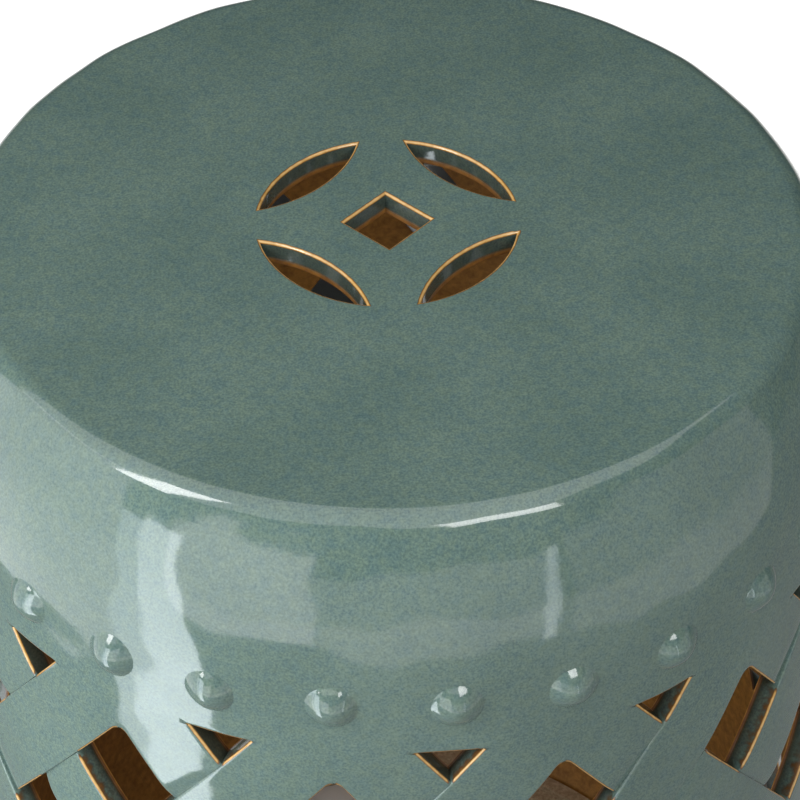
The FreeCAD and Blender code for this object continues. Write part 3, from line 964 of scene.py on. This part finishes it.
upper_bosses = hang_bosses("upper_bosses_glazed", HEIGHT - BOSS_DROP, FRONT_BOSS_OFFSETS, seed=5)
lower_bosses = hang_bosses("lower_bosses_glazed", BOSS_DROP, {}, seed=6)
remove(flat_boss)

# %% [markdown]
# ## The foot ring
#
# The stool stands on a bare ring, wiped clean of glaze so that it doesn't stick to the kiln
# shelf. It is spun like the bands, from a section with softened arrises. Its lip stands up inside
# the lower band, as the seat's lip hangs down inside the upper one.

# %% Spin the foot ring
FOOT_INNER = RIM - 21 * MM
FOOT_EDGE = RIM - 6 * MM
FOOT_SOFT = 0.8 * MM

lip_inner = LIP_OUTER - LIP_WIDTH
lip_top = SEAT_THICK + LIP_DEPTH
under_edge = [(FOOT_INNER, FOOT_SOFT), (FOOT_INNER + FOOT_SOFT, 0), (FOOT_EDGE - MM, 0),
              (FOOT_EDGE - 0.3 * MM, 0.25 * MM), (FOOT_EDGE + 0.3 * MM, MM)]
top_and_lip = [(RIM, SEAT_THICK), (LIP_OUTER, SEAT_THICK), (LIP_OUTER, lip_top),
               (lip_inner, lip_top), (lip_inner, SEAT_THICK), (FOOT_INNER, SEAT_THICK)]
foot = spin_ring("foot", under_edge + top_and_lip)
smooth(foot, 30)
print("foot:", len(foot.data.polygons), "faces")

# %% [markdown]
# ## Colours and nodes
#
# A colour picked from a screen is sRGB, and a shader wants linear light, so one function turns
# the written hex values. Another adds a node with its settings and links in one call.

# %% Helpers for materials
def colour(text):
    """A written sRGB colour as the linear colour that a shader takes."""
    parts = [int(text[place:place + 2], 16) / 255 for place in (1, 3, 5)]
    linear = [part / 12.92 if part <= 0.04045 else ((part + 0.055) / 1.055) ** 2.4 for part in parts]
    return (*linear, 1)


def new_material(name):
    """An empty material, for its nodes to be added one by one."""
    material = bpy.data.materials.new(name)
    material.use_nodes = True
    material.node_tree.nodes.clear()
    return material


def node(material, kind, inputs=None, stops=None, **settings):
    """Adds a node. An input is a number, a colour or a socket to link from.

    Stops of (place, colour) fill a colour ramp.
    """
    made = material.node_tree.nodes.new(kind)
    for key, value in settings.items():
        setattr(made, key, value)
    for number, (place, value) in enumerate(stops or []):
        if number >= len(made.color_ramp.elements):
            made.color_ramp.elements.new(place)
        made.color_ramp.elements[number].position = place
        made.color_ramp.elements[number].color = value
    for key, value in (inputs or {}).items():
        if isinstance(value, bpy.types.NodeSocket):
            material.node_tree.links.new(value, made.inputs[key])
        else:
            made.inputs[key].default_value = value
    return made


print("a middle grey in linear light:", [round(part, 3) for part in colour("#808080")])

# %% [markdown]
# ## Celadon glaze
#
# Celadon is a clear, iron-tinted glaze over pale stoneware, fired to glass. Its common faults
# are its charm. It is mottled, because specks of iron and ash bloom blue-green and olive in it,
# at about a millimetre, and it pools deeper and thinner over some centimetres. Its surface is
# glassy, with a low roughness and an index of refraction of 1.55, so it mirrors the room sharply.

# %% Mottle the glaze
SPECK = 0.8 * MM
BLOOM = 3.5 * MM
POOL = 45 * MM
SPECK_SHARE = 0.45

glaze = new_material("celadon_glaze")
place = node(glaze, "ShaderNodeTexCoord").outputs["Object"]
bloom = node(glaze, "ShaderNodeTexNoise",
             {"Vector": place, "Scale": 1 / BLOOM, "Detail": 3.0, "Roughness": 0.65})
speck = node(glaze, "ShaderNodeTexNoise",
             {"Vector": place, "Scale": 1 / SPECK, "Detail": 2.0, "Roughness": 0.6})
pool = node(glaze, "ShaderNodeTexNoise", {"Vector": place, "Scale": 1 / POOL, "Detail": 2.0})
bloomed = node(glaze, "ShaderNodeValToRGB", {"Fac": bloom.outputs["Fac"]},
               stops=[(0.34, colour("#455a5b")), (0.64, colour("#556559"))])
specked = node(glaze, "ShaderNodeValToRGB", {"Fac": speck.outputs["Fac"]},
               stops=[(0.30, colour("#354748")), (0.68, colour("#67796f"))])
mottled = node(glaze, "ShaderNodeMix",
               {0: SPECK_SHARE, 6: bloomed.outputs["Color"], 7: specked.outputs["Color"]},
               data_type="RGBA")
pooled = node(glaze, "ShaderNodeValToRGB", {"Fac": pool.outputs["Fac"]},
              stops=[(0.35, (0.92, 0.94, 0.94, 1)), (0.65, (1.06, 1.05, 1.04, 1))])
body = node(glaze, "ShaderNodeMix",
            {0: 1.0, 6: mottled.outputs[2], 7: pooled.outputs["Color"]},
            data_type="RGBA", blend_type="MULTIPLY")
print("glaze nodes for the mottle:", len(glaze.node_tree.nodes))

# %% [markdown]
# Where the glaze runs thin over a sharp arris it breaks to golden brown. The break follows the mark
# that the arrises carry, and noise makes its edges wander. Its middle, where the glaze is thinnest,
# is pale gold, and its borders are brown, where iron gathers.

# %% Break the glaze on the arrises
WANDER = 2.5 * MM

thin = node(glaze, "ShaderNodeAttribute", attribute_name="thin")
wander = node(glaze, "ShaderNodeTexNoise", {"Vector": place, "Scale": 1 / WANDER, "Detail": 2.0})
wandered = node(glaze, "ShaderNodeMath", {0: wander.outputs["Fac"], 1: 0.5, 2: -0.25},
                operation="MULTIPLY_ADD")
thinness = node(glaze, "ShaderNodeMath", {0: thin.outputs["Fac"], 1: wandered.outputs["Value"]},
                operation="ADD")
broken = node(glaze, "ShaderNodeValToRGB", {"Fac": thinness.outputs["Value"]},
              stops=[(0.22, colour("#3a3020")), (0.50, colour("#674627")),
                     (0.74, colour("#9a753a")), (1.00, colour("#bd9862"))])
how_broken = node(glaze, "ShaderNodeMapRange",
                  {"Value": thinness.outputs["Value"], "From Min": 0.14, "From Max": 0.36})
edged = node(glaze, "ShaderNodeMix",
             {0: how_broken.outputs["Result"], 6: body.outputs[2], 7: broken.outputs["Color"]},
             data_type="RGBA")
print("glaze nodes with the break:", len(glaze.node_tree.nodes))

# %% [markdown]
# Inside, only a thin coat was swilled round. It is honey brown all over and less glassy. On the
# sides of the openings shade is painted into the colour: a multiply makes it darker and browner,
# partly for glaze that pools thick there and partly for the shade that falls in the openings.
# Each follows its own mark.

# %% Coat the inside and paint shade on the sides of the openings
INNER_ROUGHNESS = 0.5

inner = node(glaze, "ShaderNodeAttribute", attribute_name="inner")
side = node(glaze, "ShaderNodeAttribute", attribute_name="side")
honey = node(glaze, "ShaderNodeValToRGB", {"Fac": bloom.outputs["Fac"]},
             stops=[(0.30, colour("#8a5c20")), (0.68, colour("#b98538"))])
coated = node(glaze, "ShaderNodeMix",
              {0: inner.outputs["Fac"], 6: edged.outputs[2], 7: honey.outputs["Color"]},
              data_type="RGBA")
# Painted shade: where the side mark is 1, the colour is multiplied by a dark brownish grey.
with_painted_shade = node(glaze, "ShaderNodeMix",
                {0: side.outputs["Fac"], 6: coated.outputs[2], 7: colour("#a08c80")},
                data_type="RGBA", blend_type="MULTIPLY")
print("glaze nodes with the coats:", len(glaze.node_tree.nodes))

# %% [markdown]
# Last comes the surface itself. It is faintly pitted like orange peel, which is too shallow to
# model and goes into a bump of a few hundredths of a millimetre.

# %% Give the glaze its surface
PEEL = 2.2 * MM
PEEL_DEPTH = 0.03 * MM
GLOSS = 0.09
GLASS_IOR = 1.55

peel = node(glaze, "ShaderNodeTexNoise", {"Vector": place, "Scale": 1 / PEEL, "Detail": 1.0})
bump = node(glaze, "ShaderNodeBump",
            {"Height": peel.outputs["Fac"], "Strength": 0.5, "Distance": PEEL_DEPTH})
roughness = node(glaze, "ShaderNodeMapRange",
                 {"Value": inner.outputs["Fac"], "To Min": GLOSS, "To Max": INNER_ROUGHNESS})
surface = node(glaze, "ShaderNodeBsdfPrincipled",
               {"Base Color": with_painted_shade.outputs[2], "Roughness": roughness.outputs["Result"],
                "IOR": GLASS_IOR, "Normal": bump.outputs["Normal"]})
node(glaze, "ShaderNodeOutputMaterial", {"Surface": surface.outputs["BSDF"]})
print("glaze nodes in all:", len(glaze.node_tree.nodes))

# %% [markdown]
# ## Bare clay
#
# The foot ring is fired stoneware without glaze: dry, buff, a little speckled with iron, and
# fully matt. Its grain, of about 1.5 mm, is also its roughness to the touch.

# %% Make the clay
GRAIN = 1.5 * MM
GRAIN_DEPTH = 0.15 * MM
DRY = 0.85

clay = new_material("bare_clay")
place = node(clay, "ShaderNodeTexCoord").outputs["Object"]
grain = node(clay, "ShaderNodeTexNoise", {"Vector": place, "Scale": 1 / GRAIN, "Detail": 3.0})
toned = node(clay, "ShaderNodeValToRGB", {"Fac": grain.outputs["Fac"]},
             stops=[(0.30, colour("#9c8466")), (0.70, colour("#c2ad8e"))])
rough = node(clay, "ShaderNodeBump",
             {"Height": grain.outputs["Fac"], "Strength": 0.6, "Distance": GRAIN_DEPTH})
matt = node(clay, "ShaderNodeBsdfPrincipled",
            {"Base Color": toned.outputs["Color"], "Roughness": DRY, "Normal": rough.outputs["Normal"]})
node(clay, "ShaderNodeOutputMaterial", {"Surface": matt.outputs["BSDF"]})
print("materials:", [material.name for material in bpy.data.materials])

# %% [markdown]
# ## Put the finishes on
#
# Every glazed piece shares the one glaze, since all of them were dipped in the same bath. Each
# new piece rides on the stool's body and takes the place of its measured node.

# %% Assign finishes and places
glazed = [(seat, ["seat_slab"]), (shoulder_band, ["shoulder_band"]), (lower_band, ["lower_band"]),
          (upper_bosses, ["upper_bosses"]), (lower_bosses, ["lower_bosses"])]
glazed += [(strap, [f"rising_strap_{number + 1:02d}"]) for number, strap in enumerate(rising)]
glazed += [(strap, [f"falling_strap_{number + 1:02d}"]) for number, strap in enumerate(falling)]
for piece, nodes in glazed + [(foot, ["foot_ring"])]:
    piece.data.materials.clear()
    piece.data.materials.append(clay if piece is foot else glaze)
    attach(piece, "root")
    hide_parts(*nodes)
stool = [piece for piece, _ in glazed] + [foot]
print("pieces with a finish:", len(stool))

# %% [markdown]
# ## The studio
#
# A glossy pot shows its studio as much as itself. Each lamp is placed by the direction in which
# the wall would mirror it, and by its reflection it is sized. The brightness is that of the
# lamp's face, where 1 is a white wall in full light. The lamps light the stool only, because the
# floor has lamps of its own.

# %% A helper for the lamps
BRIGHTNESS_TO_WATTS = math.pi
PLAIN = (1, 1, 1)
COOL = (0.86, 0.95, 1.0)
SOFT_WHITE = (0.97, 0.98, 1.0)

stool_only = bpy.data.collections.new("lit by the studio")
for piece in stool:
    stool_only.objects.link(piece)


def lamp(name, centre, target, width, height, brightness, tint):
    """A rectangular lamp that faces its target and lights the stool alone."""
    close_all()
    bpy.ops.object.light_add(type="AREA", location=centre)
    made = bpy.context.object
    made.name = name
    made.data.shape = "RECTANGLE"
    made.data.size = width
    made.data.size_y = height
    made.data.energy = brightness * width * height * BRIGHTNESS_TO_WATTS
    made.data.color = tint
    made.rotation_euler = (Vector(target) - Vector(centre)).to_track_quat("-Z", "Y").to_euler()
    made.visible_camera = False
    made.light_linking.receiver_collection = stool_only


# %% [markdown]
# A wide softbox reaches over the stool and lights the seat. Its reflection is the pale band along
# the rolled edge. On the left stand a bright strip with a softer one beside it, which fades its
# edge, a card close by and another in the corner.

# %% Light from above and from the left
lamp("softbox", (-0.33, -0.48, 1.36), (-0.33, -0.48, 0), 2.00, 1.80, 1.50, SOFT_WHITE)
lamp("strip", (-0.318, -0.324, 0.25), (-0.105, -0.14, 0.25), 0.09, 0.50, 6.4, COOL)
lamp("strip_fade", (-0.362, -0.273, 0.245), (-0.12, -0.10, 0.245), 0.045, 0.49, 3.4, COOL)
lamp("left_card", (-0.59, -0.12, 0.43), (-0.13, -0.08, 0.43), 0.44, 0.86, 1.75, PLAIN)
lamp("corner_card", (-0.80, -1.17, 0.40), (-0.80, 0, 0.40), 0.92, 0.79, 2.35, PLAIN)

# %% [markdown]
# A dim card behind the camera lifts the front of the wall, a thin strip draws the streak right of
# the middle, and a dimmer card fills the right. Two small bright lamps, higher up, make the white
# highlights on the rolled edge.

# %% Light from the front and the right, and the highlights
lamp("front_card", (0.12, -1.17, 0.315), (0.12, 0, 0.315), 0.92, 0.62, 0.85, PLAIN)
lamp("thin_strip", (0.493, -0.927, 0.33), (0.05, -0.15, 0.33), 0.05, 0.55, 3.6, COOL)
lamp("right_card", (0.80, -0.50, 0.35), (0.12, -0.08, 0.35), 0.90, 0.62, 0.55, PLAIN)
lamp("small_lamp_left", (-0.70, -0.42, 1.03), (-0.12, -0.09, 0.45), 0.26, 0.62, 12.5, PLAIN)
lamp("small_lamp_right", (0.39, -0.77, 1.01), (0.05, -0.15, 0.45), 0.44, 0.36, 9, PLAIN)

# %% [markdown]
# ## The floor
#
# The floor is one large sheet of pale, matt paper. Its own spot lamps stand far in front and high
# up, so the stool's shadow falls straight behind it, where the openings look through to it. The
# wide lamp lights all of the floor softly, and the narrow one turns the far floor white.

# %% Lay the floor
FLOOR_SIZE = 12
MATT = 0.9

close_all()
bpy.ops.mesh.primitive_plane_add(size=FLOOR_SIZE, location=(0, 0, 0))
floor = bpy.context.object
floor.name = "floor"
paper = new_material("pale_paper")
sheet = node(paper, "ShaderNodeBsdfPrincipled", {"Base Color": colour("#e9e9e7"), "Roughness": MATT})
node(paper, "ShaderNodeOutputMaterial", {"Surface": sheet.outputs["BSDF"]})
floor.data.materials.append(paper)
print("floor, m:", FLOOR_SIZE)

# %% Light the floor
FLOOR_LAMP_PLACE = Vector((-0.09, -3.40, 3.00))
FLOOR_LAMP_RADIUS = 0.20

floor_only = bpy.data.collections.new("lit by the floor lamp")
floor_only.objects.link(floor)


def floor_lamp(name, target, cone, softness, watts):
    """A spot lamp for the floor alone, with a cone in degrees."""
    close_all()
    bpy.ops.object.light_add(type="SPOT", location=FLOOR_LAMP_PLACE)
    made = bpy.context.object
    made.name = name
    aim = Vector(target) - FLOOR_LAMP_PLACE
    made.rotation_euler = aim.to_track_quat("-Z", "Y").to_euler()
    made.data.spot_size = math.radians(cone)
    made.data.spot_blend = softness
    made.data.shadow_soft_size = FLOOR_LAMP_RADIUS
    made.data.energy = watts
    made.light_linking.receiver_collection = floor_only


floor_lamp("floor_lamp_wide", (0, 0.5, 0), cone=90, softness=0.5, watts=460)
floor_lamp("floor_lamp_rear", (0, 16.7, 0), cone=60, softness=0.12, watts=2900)

# %% [markdown]
# The room round the lamps is nearly dark, as the glaze's deep reflections tell. The Standard view
# shows each colour as it is written.

# %% Darken the room
DARK_ROOM = (0.015, 0.0155, 0.016, 1)

world = bpy.data.worlds.new("dim studio")
bpy.context.scene.world = world
world.use_nodes = True
world.node_tree.nodes["Background"].inputs["Color"].default_value = DARK_ROOM
bpy.context.scene.view_settings.view_transform = "Standard"
print("view transform:", bpy.context.scene.view_settings.view_transform)
